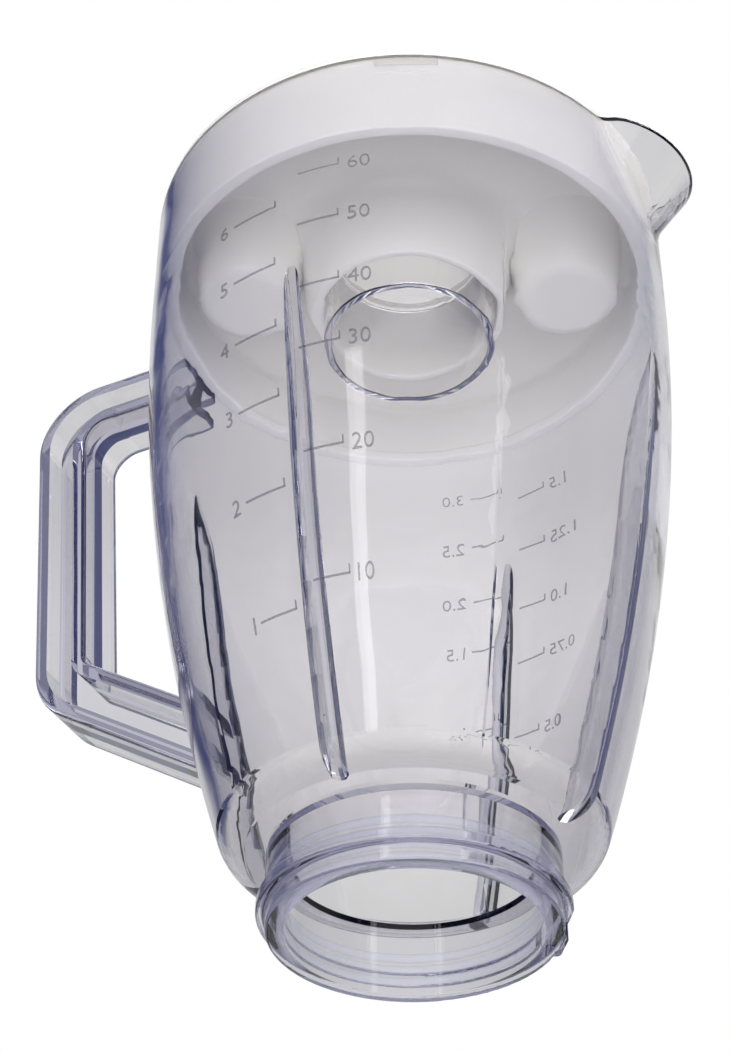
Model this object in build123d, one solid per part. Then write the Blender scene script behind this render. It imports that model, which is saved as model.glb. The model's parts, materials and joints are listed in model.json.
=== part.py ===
"""Clear blender jar with its push-in lid and filler cap.

The jar is one moulding that stands on its threaded collar. +Z is up, the origin is on the jar's axis at the
collar's lower face, the spout points along +X and the handle along -X. All sizes are in millimetres.
"""

from build123d import *
from math import cos, hypot, radians, sin, sqrt, tan
import os

# Jar body
JAR_HEIGHT = 214.0
RIM_RADIUS = 69.0
WALL = 2.8
RIM_BAND = 32.0  # upright stretch of the side below the rim, with a long barrel curve under it
SIDE_FOOT_REACH = 9.3  # beyond the neck, of the barrel curve drawn on to the height of the body's underside
HEEL_RADIUS = 8.5  # round corner between the side and the floor
BODY_BOTTOM_Z = 18.2  # underside of the body's floor, where the neck meets it
FLOOR_SLOPE = 10.0  # degrees, rising from the neck to the heel
FUNNEL_SLOPE = 35.0  # degrees, of the funnel from the floor down to the bore
RIM_ROUND = 0.7

# Neck and collar
COLLAR_RADIUS = 33.2
COLLAR_WALL = 4.2  # from the bore to the collar's outside
COLLAR_ROUND = 0.7
NECK_STEP = 0.3  # beyond the collar
FLANGE_REACH = 2.1  # beyond the collar
FLANGE_Z = 3.8
FLANGE_HEIGHT = 3.1
FLANGE_FLAT_REACH = 0.4  # beyond the neck, of the flat on the flange above the lug
LUG_ANGLE = 36.0
LUG_LENGTH = 9.0
LUG_REACH = 0.8  # beyond the collar
LUG_ROUND = 1.2

# Inner ribs
RIB_COUNT = 4
RIB_THICKNESS = 4.0
RIB_HEIGHT = 5.5
RIB_TOP_Z = 152.0
RIB_FULL_Z = 108.0  # the rib stands at its full height below this
RIB_TAPER_HEIGHT = 3.6  # its height halfway up the tapering stretch
RIB_ROUND = 1.5

# Spout
SPOUT_REACH = 17.0  # beyond the rim, before the lip is cut to its slope
SPOUT_HEIGHT = 22.7  # from its root up to the rim
SPOUT_LIP_RADIUS = 20.8
SPOUT_ROOT_RADIUS = 13.8
SPOUT_LIP_DIP = 5.7  # fall of the lip's slope over the spout's reach
SPOUT_LIP_BEND = 18.0  # radius of the bend from the level rim into the lip's slope
SPOUT_BLEND = 4.0  # round in the corner between the spout and the body

# Handle, in the plane of the jar's axis, as distance from the axis and height
HANDLE_WIDTH = 17.5
HANDLE_TOP_DROP = 22.2  # top of the upper arm below the rim
HANDLE_ARM_DEPTH = 13.8
HANDLE_SPAN = 44.2  # sharp upper outer corner beyond the rim
GRIP_DEPTH = 15.1
GRIP_LEAN = 5.3  # degrees from upright, the foot nearer to the jar
LOWER_ARM_SLOPE = 33.2  # degrees, falling towards the jar
LOWER_ARM_DEPTH = 15.7
HANDLE_FOOT_Z = 52.8  # underside of the lower arm where it meets the body
HANDLE_TOP_CORNER = 18.0
HANDLE_FOOT_CORNER = 20.0
OPENING_TOP_CORNER = 7.0
OPENING_FOOT_CORNER = 4.0
HANDLE_FLANGE = 3.8
HANDLE_WEB = 5.0
HANDLE_ROUND = 1.2

# Lid
LID_TURN = 25.0  # the lid's own turn about the axis, in degrees
LID_CLEARANCE = 0.4
LID_WALL = 2.0
LID_FLANGE_SETBACK = 0.4  # inside the jar's rim
LID_FLANGE_HEIGHT = 1.8
LID_SKIRT_DEPTH = 25.5
LID_BEAD_WIDTH = 3.4
LID_BEAD_HEIGHT = 2.6
LID_PLATE_DROP = 3.0  # top of the plate below the rim
LID_EDGE_ROUND = 0.6
LID_SEAT_ROUND = 0.3  # in the corner that sits over the jar's rim
LID_CORNER_ROUND = 2.0  # between the plate and the skirt
WELL_LENGTH = 48.0
WELL_WIDTH = 33.0
WELL_FLOOR_LENGTH = 26.0
WELL_FLOOR_WIDTH = 27.0
WELL_DEPTH = 20.0
WELL_FLOOR_ROUND = 4.0
PANEL_WIDTH = 21.0
PANEL_RECESS = 0.5
PANEL_SLOT_WIDTH = 16.0
PANEL_SLOT_HEIGHT = 2.4

# Filler hole and cap
CAP_RADIUS = 23.1
CAP_CLEARANCE = 0.4
CAP_WALL = 2.0
CAP_DEPTH = 35.0  # below the flange
CAP_FLANGE_RADIUS = 27.0
CAP_FLANGE_HEIGHT = 2.6
SLEEVE_DROP = 25.5  # below the top of the lid's plate
SLEEVE_FOOT_WALL = 2.0
SLEEVE_HEAD_WALL = 6.5
SLEEVE_ROOT_ROUND = 8.0  # between the sleeve and the lid's plate
CAP_EDGE_ROUND = 0.5

# Values that follow from the sizes above
BORE_RADIUS = COLLAR_RADIUS - COLLAR_WALL
NECK_RADIUS = COLLAR_RADIUS + NECK_STEP
FLANGE_RADIUS = COLLAR_RADIUS + FLANGE_REACH
FLANGE_TOP = FLANGE_Z + FLANGE_HEIGHT
MOUTH_RADIUS = RIM_RADIUS - WALL
SIDE_TOP_Z = JAR_HEIGHT - RIM_BAND
SPOUT_TIP_RADIUS = RIM_RADIUS + SPOUT_REACH
SPOUT_ROOT_Z = JAR_HEIGHT - SPOUT_HEIGHT
HANDLE_TOP_Z = JAR_HEIGHT - HANDLE_TOP_DROP
HANDLE_REACH = RIM_RADIUS + HANDLE_SPAN
SIDE_NARROWING = RIM_RADIUS - NECK_RADIUS - SIDE_FOOT_REACH
SIDE_ARC_RADIUS = ((SIDE_TOP_Z - BODY_BOTTOM_Z) ** 2 / SIDE_NARROWING + SIDE_NARROWING) / 2
SIDE_CENTRE = (RIM_RADIUS - SIDE_ARC_RADIUS, SIDE_TOP_Z)
FLOOR_RISE = tan(radians(FLOOR_SLOPE))


def heel_centre():
    """Centre of the heel's round, which touches the side's curve and the sloping floor from inside."""
    rise = FLOOR_RISE
    base = BODY_BOTTOM_Z - NECK_RADIUS * rise + HEEL_RADIUS / cos(radians(FLOOR_SLOPE)) - SIDE_CENTRE[1]
    a = 1 + rise**2
    b = rise * base - SIDE_CENTRE[0]
    c = SIDE_CENTRE[0] ** 2 + base**2 - (SIDE_ARC_RADIUS - HEEL_RADIUS) ** 2
    radius = (sqrt(b**2 - a * c) - b) / a
    return (radius, base + radius * rise + SIDE_CENTRE[1])


HEEL_CENTRE = heel_centre()


def side_radius(z, inset=0.0):
    """Radius of the body's side at a height, taken inwards by an inset."""
    if z >= SIDE_TOP_Z:
        return RIM_RADIUS - inset
    return SIDE_CENTRE[0] + sqrt((SIDE_ARC_RADIUS - inset) ** 2 - (SIDE_TOP_Z - z) ** 2)


def heel_joint(inset=0.0):
    """Point where the heel's round runs into the side's curve."""
    dx = HEEL_CENTRE[0] - SIDE_CENTRE[0]
    dz = HEEL_CENTRE[1] - SIDE_CENTRE[1]
    share = (SIDE_ARC_RADIUS - inset) / hypot(dx, dz)
    return (SIDE_CENTRE[0] + dx * share, SIDE_CENTRE[1] + dz * share)


def heel_foot(inset=0.0):
    """Point where the heel's round runs into the sloping floor."""
    reach = HEEL_RADIUS - inset
    slope = radians(FLOOR_SLOPE)
    return (HEEL_CENTRE[0] + reach * sin(slope), HEEL_CENTRE[1] - reach * cos(slope))


def floor_height(radius, inset=0.0):
    """Height of the body's sloping floor at a radius, taken inwards by an inset."""
    return BODY_BOTTOM_Z + (radius - NECK_RADIUS) * FLOOR_RISE + inset / cos(radians(FLOOR_SLOPE))


def arc_between(start, end, centre, radius):
    """The short arc from start to end about a centre."""
    mid = ((start[0] + end[0]) / 2 - centre[0], (start[1] + end[1]) / 2 - centre[1])
    share = radius / hypot(*mid)
    return ThreePointArc(start, (centre[0] + mid[0] * share, centre[1] + mid[1] * share), end)


def body_side(start, top_z, inset=0.0):
    """Floor, heel, barrel curve and upright stretch of the body, from a point on the floor up to a height."""
    foot = heel_foot(inset)
    joint = heel_joint(inset)
    curve_top_z = min(top_z, SIDE_TOP_Z)
    curve_top = (side_radius(curve_top_z, inset), curve_top_z)
    edges = [
        Line(start, foot),
        arc_between(foot, joint, HEEL_CENTRE, HEEL_RADIUS - inset),
        arc_between(joint, curve_top, SIDE_CENTRE, SIDE_ARC_RADIUS - inset),
    ]
    if top_z > SIDE_TOP_Z:
        edges.append(Line(curve_top, (RIM_RADIUS - inset, top_z)))
    return edges


def turned(edges):
    """Solid of revolution from a closed chain of edges given as radius and height, its seam clear of the ribs."""
    seam = Rot(0, 0, -180 / RIB_COUNT)
    return seam * revolve(Plane.XZ * make_face(edges), Axis.Z)


def outer_form(top_z):
    """The jar's outside up to a height, solid from its axis out, without spout, handle and lug."""
    neck_top = (NECK_RADIUS, BODY_BOTTOM_Z)
    foot = FilletPolyline(
        (0, 0),
        (COLLAR_RADIUS, 0),
        (COLLAR_RADIUS, FLANGE_Z),
        (FLANGE_RADIUS, FLANGE_Z),
        (FLANGE_RADIUS, FLANGE_TOP),
        (NECK_RADIUS, FLANGE_TOP),
        neck_top,
        radius=[COLLAR_ROUND] * 5,
    )
    closing = Polyline((RIM_RADIUS, top_z), (0, top_z), (0, 0))
    return turned([foot] + body_side(neck_top, top_z) + [closing])


def cavity(top_z):
    """The jar's inside with its bore, open at both ends."""
    below = -WALL
    funnel_rise = tan(radians(FUNNEL_SLOPE))
    funnel_width = (floor_height(BORE_RADIUS, WALL) - BODY_BOTTOM_Z) / (funnel_rise - FLOOR_RISE)
    floor_edge = (BORE_RADIUS + funnel_width, BODY_BOTTOM_Z + funnel_width * funnel_rise)
    bore = Polyline((0, below), (BORE_RADIUS, below), (BORE_RADIUS, BODY_BOTTOM_Z), floor_edge)
    closing = Polyline((MOUTH_RADIUS, top_z), (0, top_z), (0, below))
    return turned([bore] + body_side(floor_edge, top_z, WALL) + [closing])


def spout_cone(inset, top_z):
    """Slanting cone of the spout, from its root in the wall up past the rim."""
    rise = JAR_HEIGHT - SPOUT_ROOT_Z
    share = (top_z - SPOUT_ROOT_Z) / rise
    root_tip = side_radius(SPOUT_ROOT_Z) - WALL / 2
    tip = root_tip + (SPOUT_TIP_RADIUS - root_tip) * share
    radius = SPOUT_ROOT_RADIUS + (SPOUT_LIP_RADIUS - SPOUT_ROOT_RADIUS) * share
    root = Pos(root_tip - SPOUT_ROOT_RADIUS, 0, SPOUT_ROOT_Z) * Circle(SPOUT_ROOT_RADIUS - inset)
    lip = Pos(tip - radius, 0, top_z) * Circle(radius - inset)
    return loft([root, lip])


def with_spout(form, inset, top_z, blend):
    """A form of the body with the spout's cone joined to it, the corner between them rounded."""
    joined = form + spout_cone(inset, top_z)
    seam = [
        edge
        for edge in joined.edges().filter_by(GeomType.BSPLINE)
        if edge.center().X > NECK_RADIUS and abs(edge.center().Y) > WALL / 2
    ]
    return fillet(seam, blend)


def above_rim():
    """Everything above the rim and above the lip's slope, which falls from the rim to the spout's tip."""
    far = SPOUT_TIP_RADIUS + SPOUT_REACH
    slope = SPOUT_LIP_DIP / SPOUT_REACH
    ceiling = JAR_HEIGHT + SPOUT_HEIGHT
    end = (far, JAR_HEIGHT - slope * (far - RIM_RADIUS))
    lip = FilletPolyline((-far, JAR_HEIGHT), (RIM_RADIUS, JAR_HEIGHT), end, radius=SPOUT_LIP_BEND)
    closing = Polyline(end, (far, ceiling), (-far, ceiling), (-far, JAR_HEIGHT))
    return extrude(Plane.XZ * make_face([lip, closing]), far, both=True)


def handle_lines(inset=0.0):
    """Corners of the handle's outline and of its finger opening, both drawn in by an inset."""
    lean = radians(GRIP_LEAN)
    slope = radians(LOWER_ARM_SLOPE)
    root = NECK_RADIUS  # the arms run on into the body
    foot_radius = side_radius(HANDLE_FOOT_Z)

    def grip_at(z, depth):
        return HANDLE_REACH - (HANDLE_TOP_Z - z) * sin(lean) / cos(lean) - depth / cos(lean)

    def arm_at(radius, depth):
        return HANDLE_FOOT_Z + (radius - foot_radius) * sin(slope) / cos(slope) + depth / cos(slope)

    def grip_foot(grip_depth, arm_depth):
        lean_rate = sin(lean) / cos(lean)
        arm_rate = sin(slope) / cos(slope)
        z = arm_at(grip_at(0.0, grip_depth), arm_depth) / (1 - lean_rate * arm_rate)
        return (grip_at(z, grip_depth), z)

    top = HANDLE_TOP_Z - inset
    ceiling = HANDLE_TOP_Z - HANDLE_ARM_DEPTH + inset
    grip_in = GRIP_DEPTH - inset
    arm_in = LOWER_ARM_DEPTH - inset
    outer = [
        (root, top),
        (grip_at(top, inset), top),
        grip_foot(inset, inset),
        (root, arm_at(root, inset)),
    ]
    opening = [
        (root, arm_at(root, arm_in)),
        grip_foot(grip_in, arm_in),
        (grip_at(ceiling, grip_in), ceiling),
        (root, ceiling),
    ]
    return outer, opening


def handle_face(inset=0.0):
    """Outline of the handle between the body and the finger opening, drawn in by an inset."""
    outer, opening = handle_lines(inset)
    back = FilletPolyline(*outer, radius=[HANDLE_TOP_CORNER - inset, HANDLE_FOOT_CORNER - inset])
    front = FilletPolyline(*opening, radius=[OPENING_FOOT_CORNER + inset, OPENING_TOP_CORNER + inset])
    loop = [back, Line(outer[-1], opening[0]), front, Line(opening[-1], outer[0])]
    return Plane.XZ * mirror(make_face(loop), about=Plane.YZ)


def handle():
    """Loop handle of I-shaped section: two flanges joined by a web in the middle."""
    grip = extrude(handle_face(), HANDLE_WIDTH / 2, both=True)
    side_edges = [
        edge
        for side in (grip.faces().sort_by(Axis.Y)[0], grip.faces().sort_by(Axis.Y)[-1])
        for edge in side.edges()
        if edge.center().X < -NECK_RADIUS - HANDLE_ROUND
    ]
    grip = fillet(side_edges, HANDLE_ROUND)
    hollow = extrude(handle_face(HANDLE_FLANGE), HANDLE_WIDTH, both=True)
    web = Box(2 * HANDLE_REACH, HANDLE_WEB, 2 * JAR_HEIGHT)
    return grip - (hollow - web)


def rib():
    """Upright inner rib on the +X side: a plate on the wall that tapers away at its top."""
    root_inset = WALL / 2
    edge_inset = WALL + RIB_HEIGHT
    foot_z = floor_height(side_radius(BODY_BOTTOM_Z, edge_inset), root_inset)
    foot = (side_radius(foot_z, edge_inset), foot_z)
    full = (side_radius(RIB_FULL_Z, edge_inset), RIB_FULL_Z)
    tip = (side_radius(RIB_TOP_Z, root_inset), RIB_TOP_Z)
    taper_z = (RIB_FULL_Z + RIB_TOP_Z) / 2
    taper = (side_radius(taper_z, WALL + RIB_TAPER_HEIGHT), taper_z)
    back = body_side(foot, RIB_TOP_Z, root_inset)
    front = arc_between(foot, full, SIDE_CENTRE, SIDE_ARC_RADIUS - edge_inset)
    loop = back + [front, ThreePointArc(full, taper, tip)]
    plate = extrude(Plane.XZ * make_face(loop), RIB_THICKNESS / 2, both=True)
    inner_edges = [
        edge
        for side in (plate.faces().sort_by(Axis.Y)[0], plate.faces().sort_by(Axis.Y)[-1])
        for edge in side.edges()
        if abs(edge.center().X) < side_radius(edge.center().Z, WALL) and edge.center().Z > HEEL_CENTRE[1]
    ]
    return fillet(inner_edges, RIB_ROUND)


def lug():
    """Small locking lug on the collar below the flange."""
    radial = COLLAR_RADIUS + LUG_REACH - BORE_RADIUS
    block = Box(radial, LUG_LENGTH, FLANGE_Z, align=(Align.MAX, Align.CENTER, Align.MIN))
    block = fillet(block.edges().filter_by(Axis.Z).group_by(Axis.X)[-1], LUG_ROUND)
    return Rot(0, 0, LUG_ANGLE) * Pos(COLLAR_RADIUS + LUG_REACH, 0, 0) * block


def flange_flat():
    """Cut for the flat on the flange above the lug, which lets the lug out of the mould."""
    block = Box(FLANGE_REACH, 2 * FLANGE_RADIUS, FLANGE_HEIGHT, align=(Align.MIN, Align.CENTER, Align.MIN))
    return Rot(0, 0, LUG_ANGLE) * Pos(NECK_RADIUS + FLANGE_FLAT_REACH, 0, FLANGE_Z) * block


def outside():
    """The jar's outside with its spout, cut to the rim and rounded there."""
    over_rim = JAR_HEIGHT + WALL
    form = with_spout(outer_form(over_rim), 0.0, over_rim, SPOUT_BLEND) - above_rim()
    lowest = JAR_HEIGHT - SPOUT_LIP_DIP - RIM_ROUND
    rim_edges = []
    for edge in form.edges():
        middle = edge.position_at(0.5)
        at_rim = middle.Z > lowest and hypot(middle.X, middle.Y) > MOUTH_RADIUS
        if at_rim and edge.geom_type != GeomType.LINE:
            rim_edges.append(edge)
    return fillet(rim_edges, RIM_ROUND)


def jar():
    """The clear moulding."""
    over_rim = JAR_HEIGHT + WALL
    inside = with_spout(cavity(over_rim), WALL, over_rim, SPOUT_BLEND + WALL)
    shell = outside() - flange_flat() + handle() + lug() - inside
    ribs = [Rot(0, 0, turn * 360 / RIB_COUNT) * rib() for turn in range(RIB_COUNT)]
    return shell + ribs


# Heights of the lid, from the rim that it sits on
PLATE_TOP = JAR_HEIGHT - LID_PLATE_DROP
PLATE_BOTTOM = PLATE_TOP - LID_WALL
SKIRT_RADIUS = MOUTH_RADIUS - LID_CLEARANCE
SKIRT_INNER = SKIRT_RADIUS - LID_WALL
SKIRT_BOTTOM = JAR_HEIGHT - LID_SKIRT_DEPTH
HOLE_RADIUS = CAP_RADIUS + CAP_CLEARANCE
SLEEVE_BOTTOM = PLATE_TOP - SLEEVE_DROP
WELL_OFFSET = (SKIRT_INNER + HOLE_RADIUS) / 2


def lid_turning():
    """Flange, skirt, plate and filler sleeve, which are all round the axis."""
    flange_top = JAR_HEIGHT + LID_FLANGE_HEIGHT
    flange_radius = RIM_RADIUS - LID_FLANGE_SETBACK
    bead_inner = SKIRT_RADIUS - LID_BEAD_WIDTH
    bead_top = SKIRT_BOTTOM + LID_BEAD_HEIGHT
    corners = [
        ((HOLE_RADIUS, PLATE_TOP), LID_EDGE_ROUND),
        ((SKIRT_INNER, PLATE_TOP), LID_CORNER_ROUND),
        ((SKIRT_INNER, flange_top), LID_EDGE_ROUND),
        ((flange_radius, flange_top), LID_EDGE_ROUND),
        ((flange_radius, JAR_HEIGHT), LID_EDGE_ROUND),
        ((SKIRT_RADIUS, JAR_HEIGHT), LID_SEAT_ROUND),
        ((SKIRT_RADIUS, SKIRT_BOTTOM), LID_EDGE_ROUND),
        ((bead_inner, SKIRT_BOTTOM), LID_EDGE_ROUND),
        ((bead_inner, bead_top), LID_EDGE_ROUND),
        ((SKIRT_INNER, bead_top + LID_BEAD_WIDTH - LID_WALL), LID_EDGE_ROUND),
        ((SKIRT_INNER, PLATE_BOTTOM), LID_CORNER_ROUND),
        ((HOLE_RADIUS + SLEEVE_HEAD_WALL, PLATE_BOTTOM), SLEEVE_ROOT_ROUND),
        ((HOLE_RADIUS + SLEEVE_FOOT_WALL, SLEEVE_BOTTOM), LID_EDGE_ROUND),
        ((HOLE_RADIUS, SLEEVE_BOTTOM), LID_EDGE_ROUND),
    ]
    points = [point for point, _ in corners]
    return turned([FilletPolyline(*points, radius=[size for _, size in corners], close=True)])


def well(inset, floor_z, top_z):
    """Finger well on the +X side, narrowing to a floor with a rounded edge."""
    floor = Pos(WELL_OFFSET, 0, floor_z) * Ellipse(WELL_FLOOR_WIDTH / 2 - inset, WELL_FLOOR_LENGTH / 2 - inset)
    mouth = Pos(WELL_OFFSET, 0, top_z) * Ellipse(WELL_WIDTH / 2 - inset, WELL_LENGTH / 2 - inset)
    cone = loft([floor, mouth])
    return fillet(cone.edges().group_by(Axis.Z)[0], WELL_FLOOR_ROUND - inset)


def lid_panel():
    """Cuts for the flat panel on the skirt and the slot above it, on the -Y side."""
    panel_height = LID_SKIRT_DEPTH - 2 * PANEL_SLOT_HEIGHT
    panel = Pos(0, -SKIRT_RADIUS, SKIRT_BOTTOM) * Box(
        PANEL_WIDTH, 2 * PANEL_RECESS, panel_height, align=(Align.CENTER, Align.CENTER, Align.MIN)
    )
    slot = Pos(0, -SKIRT_RADIUS, JAR_HEIGHT - PANEL_SLOT_HEIGHT) * Box(
        PANEL_SLOT_WIDTH, 2 * LID_WALL, PANEL_SLOT_HEIGHT, align=(Align.CENTER, Align.CENTER, Align.MIN)
    )
    return panel + slot


def lid():
    """The white moulding, seated on the rim."""
    floor_z = PLATE_TOP - WELL_DEPTH
    cut_top = PLATE_TOP + LID_WALL
    wells = [Rot(0, 0, turn) * well(0.0, floor_z, PLATE_TOP) for turn in (0, 180)]
    pockets = [Rot(0, 0, turn) * well(LID_WALL, floor_z + LID_WALL, cut_top) for turn in (0, 180)]
    return Rot(0, 0, LID_TURN) * (lid_turning() + wells - pockets - lid_panel())


def filler_cap():
    """Clear cup that hangs in the filler hole by its flange, open below."""
    flange_top = PLATE_TOP + CAP_FLANGE_HEIGHT
    foot = PLATE_TOP - CAP_DEPTH
    inner = CAP_RADIUS - CAP_WALL
    ceiling = PLATE_TOP - CAP_WALL
    section = FilletPolyline(
        (0, PLATE_TOP),
        (inner, PLATE_TOP),
        (inner, flange_top),
        (CAP_FLANGE_RADIUS, flange_top),
        (CAP_FLANGE_RADIUS, PLATE_TOP),
        (CAP_RADIUS, PLATE_TOP),
        (CAP_RADIUS, foot),
        (inner, foot),
        (inner, ceiling),
        (0, ceiling),
        radius=CAP_EDGE_ROUND,
    )
    return turned([section, Line((0, ceiling), (0, PLATE_TOP))])


def main():
    os.makedirs("parts", exist_ok=True)
    for name, make in (("jar", jar), ("lid", lid), ("filler_cap", filler_cap)):
        solid = make()
        solid.label = name
        export_step(solid, f"parts/{name}.step")


main()
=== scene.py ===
"""Looks of a clear blender jar with its white lid and clear filler cap.

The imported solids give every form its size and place. This file gives them their plastics, adds the collar's
thread and the moulded measuring scales on the wall, and sets up the studio.
"""

import json
import math

import bpy
from bpy.props import FloatProperty, FloatVectorProperty, PointerProperty
from mathutils import Matrix, Vector


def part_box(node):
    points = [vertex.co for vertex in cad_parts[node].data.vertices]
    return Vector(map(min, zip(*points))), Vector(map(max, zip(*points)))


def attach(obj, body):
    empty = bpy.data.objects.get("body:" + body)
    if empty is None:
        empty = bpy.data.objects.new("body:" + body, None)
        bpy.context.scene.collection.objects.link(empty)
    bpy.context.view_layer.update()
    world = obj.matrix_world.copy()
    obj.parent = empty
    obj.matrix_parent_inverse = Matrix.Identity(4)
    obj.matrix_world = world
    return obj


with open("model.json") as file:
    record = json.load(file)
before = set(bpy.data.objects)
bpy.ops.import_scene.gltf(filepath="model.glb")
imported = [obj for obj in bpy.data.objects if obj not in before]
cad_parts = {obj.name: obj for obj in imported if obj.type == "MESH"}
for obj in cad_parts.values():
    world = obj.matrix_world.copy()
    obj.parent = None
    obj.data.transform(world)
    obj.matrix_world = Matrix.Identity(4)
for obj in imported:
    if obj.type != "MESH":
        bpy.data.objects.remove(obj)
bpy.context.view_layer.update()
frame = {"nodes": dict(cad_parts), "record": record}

bl_info = {
    "name": "Blender jar looks",
    "version": (1, 0, 0),
    "blender": (4, 5, 0),
    "location": "3D View > Sidebar > Jar",
    "description": "Dresses a clear blender jar with its thread, measuring scales, plastics and studio",
    "category": "Object",
}

MM = 0.001
BODY = "root"
JAR_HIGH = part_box("jar")[1]
MOUNTS = {mount["name"]: mount for mount in frame["record"]["mounts"]}
BORE_RADIUS = MOUNTS["collar_thread"]["dims"]["r_mm"] * MM

# The wall's barrel curve, as the solids have it
RIM_RADIUS = JAR_HIGH.y
SIDE_ARC_RADIUS = 525.1 * MM
SIDE_TOP = JAR_HIGH.z - 32.0 * MM

# Each scale has its name, the angles about the axis of its ticks' numbered end, far end and hooked end in
# degrees, and its numbers with the heights of their ticks in millimetres
SCALES = (
    (
        "cups", -103.5, -93.0, -93.0,
        (("1", 54.7), ("2", 84.8), ("3", 109.0), ("4", 129.0), ("5", 148.1), ("6", 167.0)),
    ),
    (
        "ounces", -79.0, -88.0, -79.0,
        (("10", 60.0), ("20", 92.0), ("30", 120.3), ("40", 138.3), ("50", 158.2), ("60", 175.6)),
    ),
    (
        "litres", 79.5, 87.0, 79.5,
        (("0.5", 84.1), ("0.75", 110.4), ("1.0", 130.2), ("1.25", 151.8), ("1.5", 171.6)),
    ),
    (
        "pints", 99.5, 92.0, 92.0,
        (("1.0", 90.0), ("1.5", 118.9), ("2.0", 137.2), ("2.5", 157.4), ("3.0", 176.0)),
    ),
)


def length(name, description, millimetres):
    """A length that a user can change, given here in millimetres."""
    return FloatProperty(
        name=name,
        description=description,
        default=millimetres * MM,
        min=0.0,
        precision=5,
        subtype="DISTANCE",
        unit="LENGTH",
    )


def amount(name, description, value):
    """A plain number that a user can change."""
    return FloatProperty(name=name, description=description, default=value, min=0.0)


def colour(name, description, value):
    """A colour that a user can change."""
    return FloatVectorProperty(
        name=name, description=description, default=value, size=3, min=0.0, max=1.0, subtype="COLOR"
    )


class ThreadSettings(bpy.types.PropertyGroup):
    """Sizes of the thread in the collar's bore."""

    turns: FloatProperty(
        name="Turns", description="How often the ridge goes round", default=3.4, min=0.5, max=8.0
    )
    pitch: length("Pitch", "Rise of one turn", 3.0)
    start: length("Start", "Height of the ridge's lower end above the collar's face", 1.3)
    ridge: length("Ridge", "How far the ridge stands out of the bore", 0.6)
    width: length("Width", "Width of the ridge at the bore's wall", 2.2)


class ScaleSettings(bpy.types.PropertyGroup):
    """Sizes of the raised measuring scales on the wall."""

    relief: length("Relief", "How far the marks stand out of the wall", 0.25)
    line: length("Line", "Width of a tick's line", 0.36)
    hook: length("Hook", "Height of the small upright at a tick's end", 1.9)
    numeral: length("Numeral", "Height of the numerals", 4.3)
    gap: length("Gap", "Space between a numeral and its tick", 2.2)
    thinning: length("Thinning", "How much each side of a numeral's strokes is drawn in", 0.07)


class FinishSettings(bpy.types.PropertyGroup):
    """Colours and finishes of the plastics."""

    clear_tint: colour("Clear tint", "Colour that thick clear plastic takes on", (0.34, 0.34, 0.58))
    clear_density: amount("Clear density", "How fast thick plastic darkens", 50.0)
    lid_white: colour("Lid white", "Colour of the lid", (0.93, 0.922, 0.885))


class StageSettings(bpy.types.PropertyGroup):
    """Studio light and floor."""

    floor_shade: colour("Floor", "Colour of the floor", (0.86, 0.86, 0.87))
    fill: amount("Fill", "Level of the light from all round", 0.4)
    front: amount("Front", "Extra level of the light from the front", 3.5)
    back: amount("Back", "Extra level of the light from the backdrop", 0.6)
    flag: colour("Flags", "Colour of the dark flags beside the backdrop", (0.10, 0.115, 0.27))
    strip: amount("Strips", "Brightness of the two upright strip lamps", 2.0)
    panel: amount("Panel", "Brightness of the wide front panel", 0.6)
    overhead: amount("Overhead", "Brightness of the lamp above", 2.2)


# Building node trees

GEOMETRY = (("Geometry", "NodeSocketGeometry"),)
MATERIAL = (("Material", "NodeSocketMaterial"),)


def floats(*names):
    """Sockets for plain numbers."""
    return tuple((name, "NodeSocketFloat") for name in names)


def add_node(tree, kind, inputs=None, **settings):
    """A new node with its settings, and its inputs set to values or linked to other nodes' sockets."""
    node = tree.nodes.new(kind)
    for name, value in settings.items():
        setattr(node, name, value)
    for name, value in (inputs or {}).items():
        socket = node.inputs[name]
        if isinstance(value, bpy.types.NodeSocket):
            tree.links.new(value, socket)
        else:
            socket.default_value = value
    return node


def math_node(tree, operation, *values):
    """Result of one sum on numbers or sockets."""
    node = add_node(tree, "ShaderNodeMath", dict(enumerate(values)), operation=operation)
    return node.outputs[0]


def stepped(tree, value, low, high, start=0.0, end=1.0):
    """A value taken smoothly from one range to another."""
    inputs = {"Value": value, "From Min": low, "From Max": high, "To Min": start, "To Max": end}
    node = add_node(tree, "ShaderNodeMapRange", inputs, interpolation_type="SMOOTHSTEP")
    return node.outputs["Result"]


def new_tree(name, kind, inputs, outputs):
    """An empty node group with its named sockets, and its input and output nodes."""
    tree = bpy.data.node_groups.new(name, kind)
    for side, sockets in (("INPUT", inputs), ("OUTPUT", outputs)):
        for label, socket_kind in sockets:
            tree.interface.new_socket(name=label, in_out=side, socket_type=socket_kind)
    return tree, tree.nodes.new("NodeGroupInput"), tree.nodes.new("NodeGroupOutput")


def end_tree(tree, end, geometry, material):
    """Makes a geometry tree's copies real, gives them their material and puts them out."""
    real = add_node(tree, "GeometryNodeRealizeInstances", {"Geometry": geometry})
    inputs = {"Geometry": real.outputs["Geometry"], "Material": material}
    painted = add_node(tree, "GeometryNodeSetMaterial", inputs)
    tree.links.new(painted.outputs["Geometry"], end.inputs["Geometry"])


def run_tree(piece, tree, values):
    """Gives a piece the plain mesh that a geometry tree makes of it."""
    modifier = piece.modifiers.new("Shape", "NODES")
    modifier.node_group = tree
    for item in tree.interface.items_tree:
        if item.in_out == "INPUT" and item.name in values:
            modifier[item.identifier] = values[item.name]
    depsgraph = bpy.context.evaluated_depsgraph_get()
    mesh = bpy.data.meshes.new_from_object(piece.evaluated_get(depsgraph))
    piece.modifiers.remove(modifier)
    old = piece.data
    piece.data = mesh
    mesh.name = piece.name
    bpy.data.meshes.remove(old)


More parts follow.
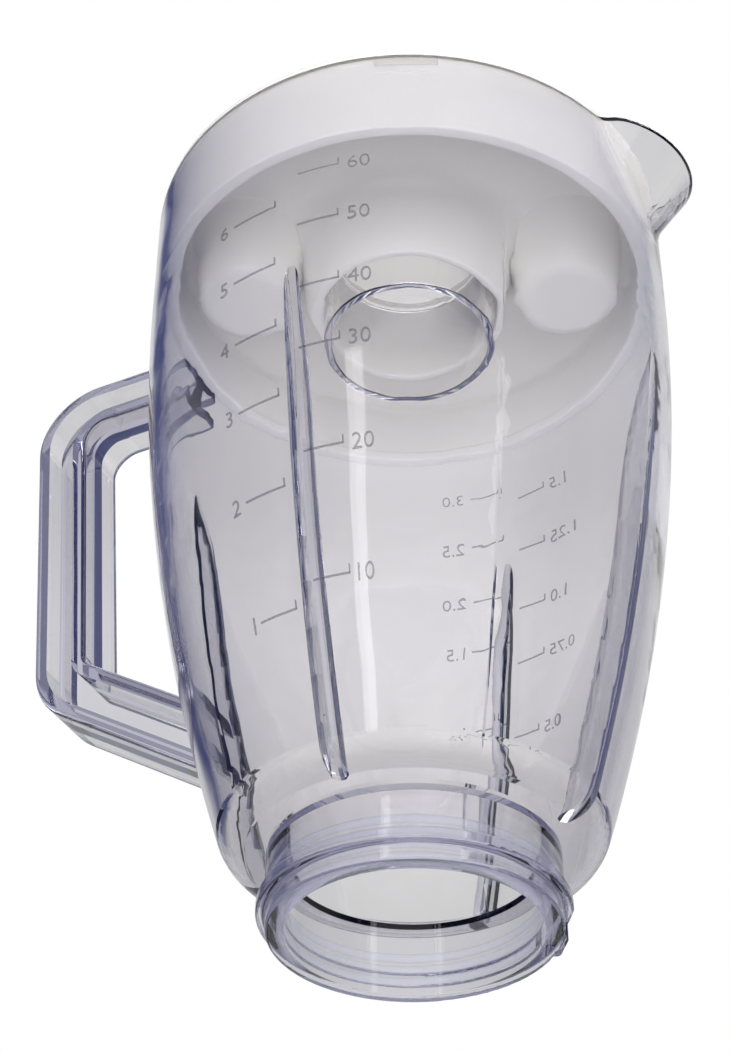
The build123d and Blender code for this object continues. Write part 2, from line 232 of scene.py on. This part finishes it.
def new_piece(name, data):
    """An object in the scene."""
    piece = bpy.data.objects.new(name, data)
    bpy.context.scene.collection.objects.link(piece)
    return piece


# Plastics

CLEAR_IOR = 1.54
CLEAR_TONES = ((0.97, 0.96, 0.937), (1.0, 0.988, 0.968))  # cancel the tint in a thin wall
CLEAR_WAVES = 0.5  # strength of the waves on a clear surface

# Wave size and height in metres, share of the body colour's density, and light let through into a shadow
CLEAR_FINISHES = {
    "clear_wall": (0.035, 0.0006, 1.0, 0.965),
    "clear_cap": (0.02, 0.0003, 0.25, 1.0),
}

WHITE_IOR = 1.5
WHITE_GLOSS = (0.34, 0.5)  # roughness where it is smooth and where it is hazy
WHITE_WAVES = (0.012, 0.0002, 0.3)  # size and height in metres, and strength
WHITE_DULLING = 0.97  # of the darker patches
WHITE_DEPTH = 0.002  # how far light goes in

MARK_CLEAR = (0.93, 0.93, 0.95)
MARK_BLUE = 1.1  # of its blue against its grey
MARK_ROUGHNESS = 0.18

# Painted grey that stands in for the shade a clear relief shows by refraction, and that grey's share
MARK_FINISHES = {
    "moulded_mark": (0.14, 0.34),
    "moulded_thread": (0.72, 0.15),
}

CLOUD_SCALE = 90.0  # per metre, of the slow change of tone
SPECK_SCALE = 900.0  # per metre, of the fine change of gloss
HAZE_SPAN = (0.12, 0.4)  # of clouds times specks, from smooth to hazy


def opaque(rgb):
    """A colour with its fourth number."""
    return tuple(rgb) + (1.0,)


def haze_group():
    """Roughness, slow waves and tone of a moulded surface, shared by the plastics."""
    group = bpy.data.node_groups.get("moulded_haze")
    if group:
        return group
    inputs = floats("Wave size", "Smooth", "Hazy")
    outputs = floats("Roughness", "Height", "Tone")
    group, start, end = new_tree("moulded_haze", "ShaderNodeTree", inputs, outputs)
    place = add_node(group, "ShaderNodeTexCoord").outputs["Object"]
    scale = math_node(group, "DIVIDE", 1.0, start.outputs["Wave size"])
    kinds = (
        {"Scale": scale, "Detail": 1.5, "Roughness": 0.4},
        {"Scale": CLOUD_SCALE, "Detail": 4.0, "Roughness": 0.6},
        {"Scale": SPECK_SCALE, "Detail": 2.0},
    )
    waves, clouds, specks = (
        add_node(group, "ShaderNodeTexNoise", {"Vector": place, **kind}).outputs["Fac"] for kind in kinds
    )
    inputs = {
        "Value": math_node(group, "MULTIPLY", clouds, specks),
        "From Min": HAZE_SPAN[0],
        "From Max": HAZE_SPAN[1],
        "To Min": start.outputs["Smooth"],
        "To Max": start.outputs["Hazy"],
    }
    spread = add_node(group, "ShaderNodeMapRange", inputs)
    group.links.new(spread.outputs["Result"], end.inputs["Roughness"])
    group.links.new(waves, end.inputs["Height"])
    group.links.new(clouds, end.inputs["Tone"])
    return group


def new_material(name):
    """A material with only a Principled BSDF and its output."""
    material = bpy.data.materials.new(name)
    material.use_nodes = True
    tree = material.node_tree
    tree.nodes.clear()
    shader = tree.nodes.new("ShaderNodeBsdfPrincipled")
    output = tree.nodes.new("ShaderNodeOutputMaterial")
    return material, tree, shader, output


def moulded_surface(tree, shader, wave_size, wave_height, wave_strength, tones):
    """Gives a plastic its changing tone and waves, and returns the haze they come from."""
    haze = tree.nodes.new("ShaderNodeGroup")
    haze.node_tree = haze_group()
    haze.inputs["Wave size"].default_value = wave_size
    tone = add_node(tree, "ShaderNodeValToRGB", {"Fac": haze.outputs["Tone"]})
    for stop, rgb in zip(tone.color_ramp.elements, tones):
        stop.color = opaque(rgb)
    inputs = {"Height": haze.outputs["Height"], "Strength": wave_strength, "Distance": wave_height}
    bump = add_node(tree, "ShaderNodeBump", inputs)
    tree.links.new(tone.outputs["Color"], shader.inputs["Base Color"])
    tree.links.new(bump.outputs["Normal"], shader.inputs["Normal"])
    return haze


def clear_plastic(name, finish, wave_size, wave_height, density_share, shadow_light):
    """Polished clear plastic with a violet body colour that shows where it is thick."""
    material, tree, shader, output = new_material(name)
    moulded_surface(tree, shader, wave_size, wave_height, CLEAR_WAVES, CLEAR_TONES)
    shader.inputs["Metallic"].default_value = 0.0
    shader.inputs["Roughness"].default_value = 0.0
    shader.inputs["IOR"].default_value = CLEAR_IOR
    shader.inputs["Transmission Weight"].default_value = 1.0
    body = {"Color": opaque(finish.clear_tint), "Density": finish.clear_density * density_share}
    volume = add_node(tree, "ShaderNodeVolumeAbsorption", body)
    ray = tree.nodes.new("ShaderNodeLightPath")
    pale = add_node(tree, "ShaderNodeBsdfTransparent", {"Color": opaque((shadow_light,) * 3)})
    inputs = {0: ray.outputs["Is Shadow Ray"], 1: shader.outputs["BSDF"], 2: pale.outputs["BSDF"]}
    surface = add_node(tree, "ShaderNodeMixShader", inputs)
    tree.links.new(surface.outputs["Shader"], output.inputs["Surface"])
    tree.links.new(volume.outputs["Volume"], output.inputs["Volume"])
    return material


def white_plastic(name, finish):
    """Satin white plastic that lets a little light through."""
    material, tree, shader, output = new_material(name)
    white = Vector(finish.lid_white)
    haze = moulded_surface(tree, shader, *WHITE_WAVES, (white * WHITE_DULLING, white))
    haze.inputs["Smooth"].default_value, haze.inputs["Hazy"].default_value = WHITE_GLOSS
    tree.links.new(haze.outputs["Roughness"], shader.inputs["Roughness"])
    shader.inputs["Subsurface Weight"].default_value = 1.0
    shader.inputs["Subsurface Radius"].default_value = (1.0, 1.0, 1.0)
    shader.inputs["Subsurface Scale"].default_value = WHITE_DEPTH
    shader.inputs["IOR"].default_value = WHITE_IOR
    tree.links.new(shader.outputs["BSDF"], output.inputs["Surface"])
    return material


def moulded_mark(name, shade, share):
    """Faint clear relief: mostly looked through, with a share of painted grey shade and gloss of its own."""
    material, tree, shader, output = new_material(name)
    # the grey is painted shade standing in for the darkening that clear relief shows by refraction
    shader.inputs["Base Color"].default_value = opaque((shade, shade, shade * MARK_BLUE))
    shader.inputs["Roughness"].default_value = MARK_ROUGHNESS
    shader.inputs["IOR"].default_value = CLEAR_IOR
    clear = add_node(tree, "ShaderNodeBsdfTransparent", {"Color": opaque(MARK_CLEAR)})
    inputs = {0: share, 1: clear.outputs["BSDF"], 2: shader.outputs["BSDF"]}
    mixed = add_node(tree, "ShaderNodeMixShader", inputs)
    tree.links.new(mixed.outputs["Shader"], output.inputs["Surface"])
    return material


def finish_of(name):
    """The scene's plastics by name, each made once."""
    found = bpy.data.materials.get(name)
    if found:
        return found
    finish = bpy.context.scene.jar_finish
    if name in CLEAR_FINISHES:
        return clear_plastic(name, finish, *CLEAR_FINISHES[name])
    if name in MARK_FINISHES:
        return moulded_mark(name, *MARK_FINISHES[name])
    return white_plastic(name, finish)


def dress_node(node, material):
    """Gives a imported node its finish."""
    for slot in frame["nodes"][node].material_slots:
        slot.material = material


# Pieces

THREAD_STEPS = 120  # in one turn
THREAD_SIDES = 16
THREAD_RUN_OUT = 0.07  # share of the thread's length over which an end tapers off
THREAD_TIP = 0.25  # thickness left at the very end
TICK_STEPS = 13  # points along a tick, so that it follows the wall
NUMERAL_SHARE = 0.7  # height of a numeral in a font of size 1
NUMERAL_STEPS = 3
UPRIGHT = Matrix(((1, 0, 0, 0), (0, 0, -1, 0), (0, 1, 0, 0), (0, 0, 0, 1)))
WALL_VALUES = {"Rim radius": RIM_RADIUS, "Arc radius": SIDE_ARC_RADIUS, "Arc top": SIDE_TOP}


def thread_tree():
    """A ridge that winds up the bore and tapers off at both ends."""
    inputs = GEOMETRY + floats("Radius", "Turns", "Pitch", "Start", "Half width") + MATERIAL
    tree, start, end = new_tree("collar_thread", "GeometryNodeTree", inputs, GEOMETRY)
    given = start.outputs
    helix = add_node(
        tree,
        "GeometryNodeCurveSpiral",
        {
            "Resolution": THREAD_STEPS,
            "Rotations": given["Turns"],
            "Start Radius": given["Radius"],
            "End Radius": given["Radius"],
            "Height": math_node(tree, "MULTIPLY", given["Turns"], given["Pitch"]),
        },
    )
    along = add_node(tree, "GeometryNodeSplineParameter").outputs["Factor"]
    from_end = math_node(tree, "MINIMUM", along, math_node(tree, "SUBTRACT", 1.0, along))
    taper = stepped(tree, from_end, 0.0, THREAD_RUN_OUT, THREAD_TIP, 1.0)
    inputs = {"Curve": helix.outputs["Curve"], "Radius": taper}
    tapered = add_node(tree, "GeometryNodeSetCurveRadius", inputs)
    inputs = {"Resolution": THREAD_SIDES, "Radius": given["Half width"]}
    ring = add_node(tree, "GeometryNodeCurvePrimitiveCircle", inputs)
    inputs = {"Curve": tapered.outputs["Curve"], "Profile Curve": ring.outputs["Curve"], "Fill Caps": True}
    ridge = add_node(tree, "GeometryNodeCurveToMesh", inputs)
    lift = add_node(tree, "ShaderNodeCombineXYZ", {"Z": given["Start"]})
    inputs = {"Geometry": ridge.outputs["Mesh"], "Translation": lift.outputs["Vector"]}
    placed = add_node(tree, "GeometryNodeTransform", inputs)
    end_tree(tree, end, placed.outputs["Geometry"], given["Material"])
    return tree


def wall_group():
    """Wraps flat marks round the jar's barrel wall.

    In the flat state X runs round the rim, Y stands out of the wall and Z is the height.
    """
    inputs = GEOMETRY + floats(*WALL_VALUES)
    tree, start, end = new_tree("wrap_on_wall", "GeometryNodeTree", inputs, GEOMETRY)
    rim = start.outputs["Rim radius"]
    arc = start.outputs["Arc radius"]
    place = add_node(tree, "GeometryNodeInputPosition").outputs["Position"]
    flat = add_node(tree, "ShaderNodeSeparateXYZ", {"Vector": place}).outputs
    below = math_node(tree, "SUBTRACT", start.outputs["Arc top"], flat["Z"])
    below = math_node(tree, "MAXIMUM", below, 0.0)
    arc_squared = math_node(tree, "MULTIPLY", arc, arc)
    squared = math_node(tree, "SUBTRACT", arc_squared, math_node(tree, "MULTIPLY", below, below))
    drawn_in = math_node(tree, "SUBTRACT", arc, math_node(tree, "SQRT", squared))
    wall = math_node(tree, "SUBTRACT", rim, drawn_in)
    radius = math_node(tree, "MINIMUM", math_node(tree, "ADD", wall, flat["Y"]), rim)
    angle = math_node(tree, "DIVIDE", flat["X"], rim)
    east = math_node(tree, "MULTIPLY", radius, math_node(tree, "COSINE", angle))
    north = math_node(tree, "MULTIPLY", radius, math_node(tree, "SINE", angle))
    wrapped = add_node(tree, "ShaderNodeCombineXYZ", {"X": east, "Y": north, "Z": flat["Z"]})
    inputs = {"Geometry": start.outputs["Geometry"], "Position": wrapped.outputs["Vector"]}
    moved = add_node(tree, "GeometryNodeSetPosition", inputs)
    tree.links.new(moved.outputs["Geometry"], end.inputs["Geometry"])
    return tree


def wrapped_on_wall(tree, geometry, given):
    """Flat geometry of a tree, wrapped on the wall that the tree's inputs give."""
    wrap = tree.nodes.new("GeometryNodeGroup")
    wrap.node_tree = bpy.data.node_groups.get("wrap_on_wall") or wall_group()
    tree.links.new(geometry, wrap.inputs["Geometry"])
    for name in WALL_VALUES:
        tree.links.new(given[name], wrap.inputs[name])
    return wrap.outputs["Geometry"]


def tick_tree():
    """A tick with its hook on every point of a flat scale, wrapped on the wall."""
    sizes = floats(*WALL_VALUES, "Length", "Line", "Thickness", "Hook", "Hook place")
    tree, start, end = new_tree("scale_ticks", "GeometryNodeTree", GEOMETRY + sizes + MATERIAL, GEOMETRY)
    given = start.outputs
    size = {"X": given["Length"], "Y": given["Thickness"], "Z": given["Line"]}
    bar_size = add_node(tree, "ShaderNodeCombineXYZ", size)
    inputs = {"Size": bar_size.outputs["Vector"], "Vertices X": TICK_STEPS, "Vertices Y": 2, "Vertices Z": 2}
    bar = add_node(tree, "GeometryNodeMeshCube", inputs)
    size = {"X": given["Line"], "Y": given["Thickness"], "Z": given["Hook"]}
    hook_size = add_node(tree, "ShaderNodeCombineXYZ", size)
    hook_bar = add_node(tree, "GeometryNodeMeshCube", {"Size": hook_size.outputs["Vector"]})
    half_line = math_node(tree, "MULTIPLY", given["Line"], 0.5)
    lift = math_node(tree, "ADD", math_node(tree, "MULTIPLY", given["Hook"], 0.5), half_line)
    hook_place = add_node(tree, "ShaderNodeCombineXYZ", {"X": given["Hook place"], "Z": lift})
    inputs = {"Geometry": hook_bar.outputs["Mesh"], "Translation": hook_place.outputs["Vector"]}
    hook = add_node(tree, "GeometryNodeTransform", inputs)
    tick = tree.nodes.new("GeometryNodeJoinGeometry")
    tree.links.new(bar.outputs["Mesh"], tick.inputs["Geometry"])
    tree.links.new(hook.outputs["Geometry"], tick.inputs["Geometry"])
    inputs = {"Points": given["Geometry"], "Instance": tick.outputs["Geometry"]}
    copies = add_node(tree, "GeometryNodeInstanceOnPoints", inputs)
    real = add_node(tree, "GeometryNodeRealizeInstances", {"Geometry": copies.outputs["Instances"]})
    end_tree(tree, end, wrapped_on_wall(tree, real.outputs["Geometry"], given), given["Material"])
    return tree


def number_tree():
    """The flat numbers of a scale, wrapped on the wall."""
    inputs = GEOMETRY + floats(*WALL_VALUES) + MATERIAL
    tree, start, end = new_tree("scale_numbers", "GeometryNodeTree", inputs, GEOMETRY)
    given = start.outputs
    end_tree(tree, end, wrapped_on_wall(tree, given["Geometry"], given), given["Material"])
    return tree


def round_rim(degrees):
    """Flat place of an angle about the axis."""
    return math.radians(degrees) * RIM_RADIUS


def numeral_mesh(text, height, thickness, thinning):
    """A plain number as a closed mesh, standing in the flat scale's frame."""
    curve = bpy.data.curves.new("numeral", "FONT")
    curve.body = text
    curve.size = height / NUMERAL_SHARE
    curve.extrude = thickness / 2
    curve.offset = -thinning
    curve.resolution_u = NUMERAL_STEPS
    holder = new_piece("numeral", curve)
    depsgraph = bpy.context.evaluated_depsgraph_get()
    mesh = bpy.data.meshes.new_from_object(holder.evaluated_get(depsgraph))
    bpy.data.objects.remove(holder)
    bpy.data.curves.remove(curve)
    mesh.transform(UPRIGHT)
    return mesh


def joined_mesh(name, meshes):
    """One mesh from several, which are then removed."""
    vertices = []
    faces = []
    for mesh in meshes:
        first = len(vertices)
        vertices += [vertex.co[:] for vertex in mesh.vertices]
        faces += [[first + index for index in face.vertices] for face in mesh.polygons]
        bpy.data.meshes.remove(mesh)
    joined = bpy.data.meshes.new(name)
    joined.from_pydata(vertices, [], faces)
    return joined


def keep_piece(piece):
    """Declares a finished piece of the jar."""
    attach(piece, BODY)


class JAR_OT_plastics(bpy.types.Operator):
    """Give the jar, the lid and the filler cap their plastics"""

    bl_idname = "jar.plastics"
    bl_label = "Plastics"

    def execute(self, context):
        dress_node("jar", finish_of("clear_wall"))
        dress_node("lid", finish_of("white_lid"))
        dress_node("filler_cap", finish_of("clear_cap"))
        return {"FINISHED"}


class JAR_OT_thread(bpy.types.Operator):
    """Wind the thread in the collar's bore"""

    bl_idname = "jar.thread"
    bl_label = "Thread"

    def execute(self, context):
        size = context.scene.jar_thread
        half_width = size.width / 2
        sunk = max(half_width - size.ridge, 0.0)
        piece = new_piece("collar_thread", bpy.data.meshes.new("collar_thread"))
        values = {
            "Radius": BORE_RADIUS + sunk,
            "Turns": size.turns,
            "Pitch": size.pitch,
            "Start": size.start,
            "Half width": half_width,
            "Material": finish_of("moulded_thread"),
        }
        run_tree(piece, thread_tree(), values)
        piece.data.shade_smooth()
        keep_piece(piece)
        return {"FINISHED"}


class JAR_OT_scales(bpy.types.Operator):
    """Raise the ticks and plain numbers of the measuring scales on the wall"""

    bl_idname = "jar.scales"
    bl_label = "Scales"

    def execute(self, context):
        size = context.scene.jar_scales
        sunk = size.relief / 2
        thickness = size.relief + sunk
        stand_out = (size.relief - sunk) / 2
        ticks = tick_tree()
        numbers = number_tree()
        mark = {**WALL_VALUES, "Material": finish_of("moulded_mark")}
        for name, near_end, far_end, hook_end, marks in SCALES:
            middle = (near_end + far_end) / 2
            span = round_rim(abs(far_end - near_end))
            points = bpy.data.meshes.new(name)
            places = [(round_rim(middle), stand_out, height * MM) for _, height in marks]
            points.from_pydata(places, [], [])
            values = {
                "Length": span,
                "Line": size.line,
                "Thickness": thickness,
                "Hook": size.hook,
                "Hook place": round_rim(hook_end - middle) * (1 - size.line / span),
            }
            piece = new_piece(name + "_ticks", points)
            run_tree(piece, ticks, {**mark, **values})
            keep_piece(piece)
            meshes = self.flat_numbers(near_end, near_end > far_end, marks, size, thickness, stand_out)
            piece = new_piece(name + "_numbers", joined_mesh(name + "_numbers", meshes))
            run_tree(piece, numbers, mark)
            keep_piece(piece)
        return {"FINISHED"}

    def flat_numbers(self, near_end, rightwards, marks, size, thickness, stand_out):
        """Each tick's number in the flat scale's frame, beside the tick's near end."""
        meshes = []
        for text, height in marks:
            mesh = numeral_mesh(text, size.numeral, thickness, size.thinning)
            left = min(vertex.co.x for vertex in mesh.vertices)
            right = max(vertex.co.x for vertex in mesh.vertices)
            start = size.gap - left if rightwards else -size.gap - right
            place = (round_rim(near_end) + start, stand_out, height * MM - size.numeral / 2)
            mesh.transform(Matrix.Translation(place))
            meshes.append(mesh)
        return meshes


# Studio, in metres and degrees

CAMERA_TURN = 25.0  # about the axis from straight in front
CAMERA_DISTANCE = 0.4487  # from the axis
CAMERA_DEPTH = 0.2408  # below the collar's face
CAMERA_PITCH = 38.425  # upwards
CAMERA_YAW = -1.615  # to the right of the axis
CAMERA_ROLL = 0.429
CAMERA_SENSOR = 36.0  # millimetres
CAMERA_LENS = 77.83  # millimetres
CAMERA_SHIFT = (0.0045, -0.0009)
CAMERA_CLIP = (0.01, 50.0)

# Upright lamps: turn about the axis, distance from it and width
STRIP_LEFT = (-86.5, 1.19, 0.14)
STRIP_RIGHT = (-27.0, 1.19, 0.12)
PANEL = (-57.0, 1.03, 1.2)
LAMP_LOW = 0.0
LAMP_HIGH = 0.74
OVERHEAD_WIDTH = 1.2
OVERHEAD_PLACE = (0.25, 0.35, 1.5)

# Surroundings: where a change starts and ends on a unit direction, and the levels there
WHITE = (1.0, 1.0, 1.0, 1.0)
OVER_ONE = 1.001  # keeps the root of what a height leaves of 1 above 0
HALF_BOUNCE = 0.5  # tells no bounce from one or more
FLAG_EDGE = (0.87, 0.75)  # cosine of the turn from the backdrop's middle
FLAG_LEAN = 0.12  # how much sooner the flags start on the left
FLAG_FOOT = (-0.1, 0.2)
FLAG_SIDES = (-0.3, 0.3, 1.0, 0.55)  # the right one is paler
MIRROR_EDGE = (0.4, -0.5)  # reflections darken from the backdrop's side to the camera's
BACKDROP_SIDES = (0.02, 0.15, 1.0, 0.86)
BACKDROP_FOOT = (0.46, 0.58, 0.72, 1.0)
BACKDROP_HEAD = (0.575, 0.635, 1.0, 0.86)
FRONT_SPREAD = (0.76, 0.98)
BACK_SPREAD = (0.2, 0.95)
CEILING = (0.2, 1.0, 1.0, 0.45)

FLOOR_REACH = 2.0
FLOOR_SIDES = 96
FLOOR_FADE = (0.25, 0.95)  # from the axis
FLOOR_ROUGHNESS = 0.6

LIGHT_BOUNCES = 24
GLOSS_BOUNCES = 12
CLEAR_BOUNCES = 32


def photo_camera():
    """Camera below the jar, looking up at it."""
    data = bpy.data.cameras.new("camera")
    data.lens = CAMERA_LENS
    data.sensor_width = CAMERA_SENSOR
    data.shift_x, data.shift_y = CAMERA_SHIFT
    data.clip_start, data.clip_end = CAMERA_CLIP
    camera = new_piece("camera", data)
    turn = Matrix.Rotation(math.radians(CAMERA_TURN), 4, "Z")
    place = Matrix.Translation((0.0, -CAMERA_DISTANCE, -CAMERA_DEPTH))
    yaw = Matrix.Rotation(math.radians(-CAMERA_YAW), 4, "Z")
    pitch = Matrix.Rotation(math.radians(90.0 + CAMERA_PITCH), 4, "X")
    roll = Matrix.Rotation(math.radians(CAMERA_ROLL), 4, "Z")
    camera.matrix_world = turn @ place @ yaw @ pitch @ roll
    bpy.context.scene.camera = camera


def upright_lamp(name, radiance, turn, distance, width):
    """Upright lamp at a turn about the axis, facing the jar."""
    data = bpy.data.lights.new(name, "AREA")
    data.shape = "RECTANGLE"
    data.size = width
    data.size_y = LAMP_HIGH - LAMP_LOW
    data.energy = radiance * math.pi * width * (LAMP_HIGH - LAMP_LOW)
    angle = math.radians(turn)
    place = (math.cos(angle) * distance, math.sin(angle) * distance, (LAMP_LOW + LAMP_HIGH) / 2)
    facing = Vector((math.cos(angle), math.sin(angle), 0.0)).to_track_quat("Z", "Y")
    new_piece(name, data).matrix_world = Matrix.Translation(place) @ facing.to_matrix().to_4x4()


def overhead_lamp(radiance):
    """Broad soft lamp above the jar."""
    data = bpy.data.lights.new("overhead", "AREA")
    data.shape = "DISK"
    data.size = OVERHEAD_WIDTH
    data.energy = radiance * math.pi * math.pi * OVERHEAD_WIDTH ** 2 / 4
    new_piece("overhead", data).matrix_world = Matrix.Translation(OVERHEAD_PLACE)


def along_axis(tree, direction, axis):
    """How far a direction points along an axis."""
    node = add_node(tree, "ShaderNodeVectorMath", {0: direction, 1: axis}, operation="DOT_PRODUCT")
    return node.outputs["Value"]


def seen_backdrop(tree, stage, ray, direction, height, away):
    """What shows through and in the clear plastic: a bright backdrop between dark flags."""
    facing = along_axis(tree, direction, away)
    across = along_axis(tree, direction, (away.y, -away.x, 0.0))
    squared = math_node(tree, "MULTIPLY", height, height)
    level = math_node(tree, "SQRT", math_node(tree, "SUBTRACT", OVER_ONE, squared))
    turned = math_node(tree, "DIVIDE", facing, level)
    sideways = math_node(tree, "DIVIDE", across, level)
    beside = stepped(tree, math_node(tree, "MULTIPLY_ADD", sideways, FLAG_LEAN, turned), *FLAG_EDGE)
    strength = stepped(tree, sideways, *FLAG_SIDES)
    raised = math_node(tree, "MULTIPLY", stepped(tree, height, *FLAG_FOOT), strength)
    flagged = math_node(tree, "MULTIPLY", beside, raised)
    reflected = math_node(tree, "GREATER_THAN", ray["Glossy Depth"], HALF_BOUNCE)
    mirrored = math_node(tree, "MULTIPLY", reflected, stepped(tree, facing, *MIRROR_EDGE))
    inputs = {0: math_node(tree, "MAXIMUM", flagged, mirrored), 6: WHITE, 7: opaque(stage.flag)}
    shade = add_node(tree, "ShaderNodeMix", inputs, data_type="RGBA").outputs[2]
    sides = stepped(tree, math_node(tree, "ABSOLUTE", sideways), *BACKDROP_SIDES)
    lower = stepped(tree, height, *BACKDROP_FOOT)
    upper = stepped(tree, height, *BACKDROP_HEAD)
    glow = math_node(tree, "MULTIPLY", sides, math_node(tree, "MULTIPLY", lower, upper))
    return add_node(tree, "ShaderNodeBackground", {"Color": shade, "Strength": glow}).outputs[0]


def studio_light(tree, stage, direction, height, away):
    """Light for what isn't clear: from all round, from low in front and from the backdrop."""
    low_front = Vector((-away.x, -away.y, -CAMERA_DEPTH / CAMERA_DISTANCE)).normalized()
    front = stepped(tree, along_axis(tree, direction, low_front), *FRONT_SPREAD, 0.0, stage.front)
    facing = along_axis(tree, direction, away)
    back = stepped(tree, facing, *BACK_SPREAD, stage.fill, stage.fill + stage.back)
    ceiling = stepped(tree, height, *CEILING)
    light = math_node(tree, "MULTIPLY", ceiling, math_node(tree, "ADD", front, back))
    return add_node(tree, "ShaderNodeBackground", {"Color": WHITE, "Strength": light}).outputs[0]


def studio_world(stage):
    """White surroundings, with a backdrop for the clear plastic and soft light for the rest."""
    world = bpy.data.worlds.new("studio")
    world.use_nodes = True
    tree = world.node_tree
    tree.nodes.clear()
    ray = tree.nodes.new("ShaderNodeLightPath").outputs
    direction = add_node(tree, "ShaderNodeTexCoord").outputs["Generated"]
    height = add_node(tree, "ShaderNodeSeparateXYZ", {"Vector": direction}).outputs["Z"]
    away = Vector((-math.sin(math.radians(CAMERA_TURN)), math.cos(math.radians(CAMERA_TURN)), 0.0))
    lit = studio_light(tree, stage, direction, height, away)
    clear = seen_backdrop(tree, stage, ray, direction, height, away)
    plain = add_node(tree, "ShaderNodeBackground", {"Color": WHITE, "Strength": 1.0}).outputs[0]
    looked = math_node(tree, "MAXIMUM", ray["Is Glossy Ray"], ray["Is Transmission Ray"])
    direct = math_node(tree, "LESS_THAN", ray["Diffuse Depth"], HALF_BOUNCE)
    through = math_node(tree, "MULTIPLY", looked, direct)
    mixed = add_node(tree, "ShaderNodeMixShader", {0: through, 1: lit, 2: clear}).outputs[0]
    inputs = {0: ray["Is Camera Ray"], 1: mixed, 2: plain}
    shown = add_node(tree, "ShaderNodeMixShader", inputs).outputs[0]
    add_node(tree, "ShaderNodeOutputWorld", {"Surface": shown})
    bpy.context.scene.world = world


def floor_material(shade):
    """Pale floor that fades into the white round about and can be looked through from below."""
    material, tree, shader, output = new_material("floor")
    shader.inputs["Base Color"].default_value = opaque(shade)
    shader.inputs["Roughness"].default_value = FLOOR_ROUGHNESS
    place = add_node(tree, "ShaderNodeTexCoord").outputs["Object"]
    distance = add_node(tree, "ShaderNodeVectorMath", {0: place}, operation="LENGTH").outputs["Value"]
    inputs = {"Value": distance, "From Min": FLOOR_FADE[0], "From Max": FLOOR_FADE[1]}
    fade = add_node(tree, "ShaderNodeMapRange", inputs).outputs["Result"]
    behind = add_node(tree, "ShaderNodeNewGeometry").outputs["Backfacing"]
    ray = tree.nodes.new("ShaderNodeLightPath").outputs
    unlit = math_node(tree, "MAXIMUM", ray["Is Shadow Ray"], ray["Is Diffuse Ray"])
    unseen = math_node(tree, "MAXIMUM", behind, unlit)
    gone = math_node(tree, "MAXIMUM", fade, unseen)
    clear = tree.nodes.new("ShaderNodeBsdfTransparent")
    inputs = {0: gone, 1: shader.outputs["BSDF"], 2: clear.outputs["BSDF"]}
    mixed = add_node(tree, "ShaderNodeMixShader", inputs)
    tree.links.new(mixed.outputs["Shader"], output.inputs["Surface"])
    return material


def floor_disc(shade):
    """Floor that the jar stands on."""
    turns = [2 * math.pi * side / FLOOR_SIDES for side in range(FLOOR_SIDES)]
    rim = [(FLOOR_REACH * math.cos(turn), FLOOR_REACH * math.sin(turn), 0.0) for turn in turns]
    mesh = bpy.data.meshes.new("floor")
    mesh.from_pydata(rim, [], [list(range(FLOOR_SIDES))])
    mesh.materials.append(floor_material(shade))
    floor = new_piece("floor", mesh)


class JAR_OT_studio(bpy.types.Operator):
    """Set up the floor, the lamps, the surroundings and the camera"""

    bl_idname = "jar.studio"
    bl_label = "Studio"

    def execute(self, context):
        scene = context.scene
        stage = scene.jar_stage
        floor_disc(stage.floor_shade)
        upright_lamp("strip_left", stage.strip, *STRIP_LEFT)
        upright_lamp("strip_right", stage.strip, *STRIP_RIGHT)
        upright_lamp("panel", stage.panel, *PANEL)
        overhead_lamp(stage.overhead)
        studio_world(stage)
        photo_camera()
        scene.view_settings.view_transform = "Standard"
        scene.cycles.max_bounces = LIGHT_BOUNCES
        scene.cycles.transmission_bounces = LIGHT_BOUNCES
        scene.cycles.glossy_bounces = GLOSS_BOUNCES
        scene.cycles.transparent_max_bounces = CLEAR_BOUNCES
        return {"FINISHED"}


class JAR_PT_looks(bpy.types.Panel):
    """The jar's looks in the 3D view's sidebar"""

    bl_idname = "JAR_PT_looks"
    bl_label = "Blender jar"
    bl_space_type = "VIEW_3D"
    bl_region_type = "UI"
    bl_category = "Jar"

    def draw(self, context):
        for operator, settings in STEPS:
            self.layout.operator(operator.bl_idname)
            group = getattr(context.scene, settings)
            for name in group.bl_rna.properties.keys():
                if name not in {"rna_type", "name"}:
                    self.layout.prop(group, name)


STEPS = (
    (JAR_OT_plastics, "jar_finish"),
    (JAR_OT_thread, "jar_thread"),
    (JAR_OT_scales, "jar_scales"),
    (JAR_OT_studio, "jar_stage"),
)
SETTINGS = {
    "jar_finish": FinishSettings,
    "jar_thread": ThreadSettings,
    "jar_scales": ScaleSettings,
    "jar_stage": StageSettings,
}


def register():
    for name, group in SETTINGS.items():
        bpy.utils.register_class(group)
        setattr(bpy.types.Scene, name, PointerProperty(type=group))
    for operator, _ in STEPS:
        bpy.utils.register_class(operator)
    bpy.utils.register_class(JAR_PT_looks)


def unregister():
    bpy.utils.unregister_class(JAR_PT_looks)
    for operator, _ in reversed(STEPS):
        bpy.utils.unregister_class(operator)
    for name, group in SETTINGS.items():
        delattr(bpy.types.Scene, name)
        bpy.utils.unregister_class(group)


def main():
    register()
    bpy.ops.jar.plastics()
    bpy.ops.jar.thread()
    bpy.ops.jar.scales()
    bpy.ops.jar.studio()


if __name__ == "__main__":
    main()
